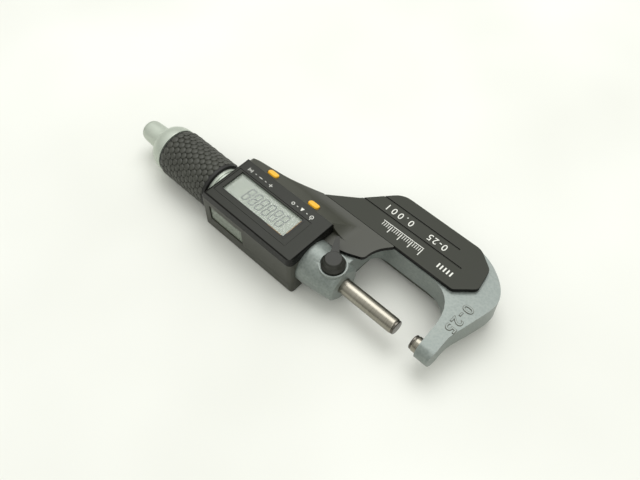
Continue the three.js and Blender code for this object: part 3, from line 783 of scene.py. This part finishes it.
symbols = ring_outline(58.6, KEY_ROW_Y, 0.85, LINE) + [box_outline(58.6, -7.5, 0.28, 1.3)]
symbols += [dot(61.2), [(63.1, -9.1), (64.7, -9.1), (63.9, -7.5)], dot(66.3)]
symbols += ring_outline(68.6, KEY_ROW_Y, 0.7, DOT)
symbols += [box_outline(81.2, KEY_ROW_Y, DASH_LENGTH, LINE),
            box_outline(81.2, KEY_ROW_Y, LINE, DASH_LENGTH), dot(84.0),
            box_outline(86.8, KEY_ROW_Y, DASH_LENGTH, LINE), dot(89.6)]
symbols += [box_outline(91.8 + i * 0.6, KEY_ROW_Y, DOT, h)
            for i, h in enumerate((1.7, 0.9, 0.9, 1.7))]
key_print = link("print_symbols",
                 flat_shapes("print_symbols", symbols, bezel_top + INK_LIFT, bezel_top + INK),
                 "print")
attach(key_print, "frame")
print(len(symbols), "plates in the key symbols")

# %% [markdown]
# ## Painted shade and reflection at the display window
# The ledge's shade along two near sides of the window is painted as a black strip, and an amber
# reflection at its corner is painted as a thin amber strip. Both lie round two sides of the
# glass, so they are flat plates.

# %% Painted shade and reflection strips
ledge_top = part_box("display_frame")[1].z / MM
GLASS_X, GLASS_Y = (60.3, 94.5), 5.5

# A black strip of painted shade where the ledge shades the glass.
shade_strip_mesh = flat_shapes("window_gasket", [
    strip(GLASS_X[0] - 1.0, GLASS_X[0] + 0.1, -GLASS_Y - 0.1, GLASS_Y + 0.6),
    strip(GLASS_X[0] + 0.1, GLASS_X[1], GLASS_Y - 0.05, GLASS_Y + 0.35),
], ledge_top + 0.005, ledge_top + 0.06)
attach(link("window_gasket", shade_strip_mesh, "seal"), "frame")
# An amber strip of painted reflection at the window's corner.
reflection_strip_mesh = flat_shapes("window_adhesive", [
    strip(GLASS_X[0] - 0.15, GLASS_X[0] + 0.12, -4.4, 3.6),
    strip(GLASS_X[0] + 0.9, GLASS_X[0] + 8.5, GLASS_Y - 0.08, GLASS_Y + 0.12),
], ledge_top + 0.01, ledge_top + 0.075)
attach(link("window_adhesive", reflection_strip_mesh, "amber_reflection"), "frame")
print("gasket", len(shade_strip_mesh.polygons), "faces, adhesive", len(reflection_strip_mesh.polygons))

# %% [markdown]
# ## Raised figures on the casting
# The range is cast in relief on the arm. The arm thins towards the anvil, so the figures follow
# its slope, with the bottom of each sunk a little into the enamel. A slightly wider, lower and
# darker copy outlines their feet.

# %% Cast figures
ARM_START_Y, ARM_END_Y = -22.3, -1.0
ARM_HIGH, ARM_LOW = 5.3, 4.1
CAST_FROM_X, CAST_FROM_Y, CAST_H = -5.6, -22.6, 4.2


def on_arm(x, y, z):
    """Reads towards +Y on the sloping top of the arm."""
    place_y = CAST_FROM_Y + x
    fall = max(0.0, place_y - ARM_START_Y) / (ARM_END_Y - ARM_START_Y)
    return (CAST_FROM_X - y, place_y, ARM_HIGH - fall * (ARM_HIGH - ARM_LOW) + 0.05 + z)


# A darker, wider and lower copy outlines the feet of the figures.
lettering("cast_range_dirt", "0-25", CAST_H, "dark_outline", "frame", on_arm, 0.24, 1.25, 0.16)
cast = lettering("cast_range", "0-25", CAST_H, "hammertone", "frame", on_arm, 0.5, 1.25, -0.04)
print("cast figures", len(cast.data.polygons), "faces")

# %% [markdown]
# ## Pieces that keep their mechanical shape
# The seals, bushes, electronics and screws are simple turned or flat shapes. They
# stay as they are and only get a finish.

# %% Finish the carried-over pieces
plain = {
    "bronze": ["spindle_bush", "lock_pad", "battery_contact", "lead_nut"],
    "seal": ["wiper_seal", "lock_seal", "zebra_strip", "cap_seal"],
    "screw": ["guide_key", "lock_shaft", "switch_1", "switch_2", "ratchet_screw",
              "ratchet_spring", "rear_screw_1", "rear_screw_2", "rear_screw_3",
              "rear_screw_4", "cover_screw_1", "cover_screw_2"],
    "steel": ["ratchet_wheel", "ratchet_pawl"],
    "chrome": ["inner_sleeve", "battery"],
    "lever": ["processor"],
    "board": ["circuit_board", "encoder_stator", "encoder_rotor"],
    "screen": ["lcd_panel"],
    "clear": ["lcd_window"],
    # The side window's tint is painted light.
    "pane": ["side_window"],
}
for finish, nodes in plain.items():
    for node in nodes:
        data = frame["nodes"][node].data
        data.materials.clear()
        data.materials.append(finishes[finish])
print(sum(len(nodes) for nodes in plain.values()), "pieces keep their mechanical shape")
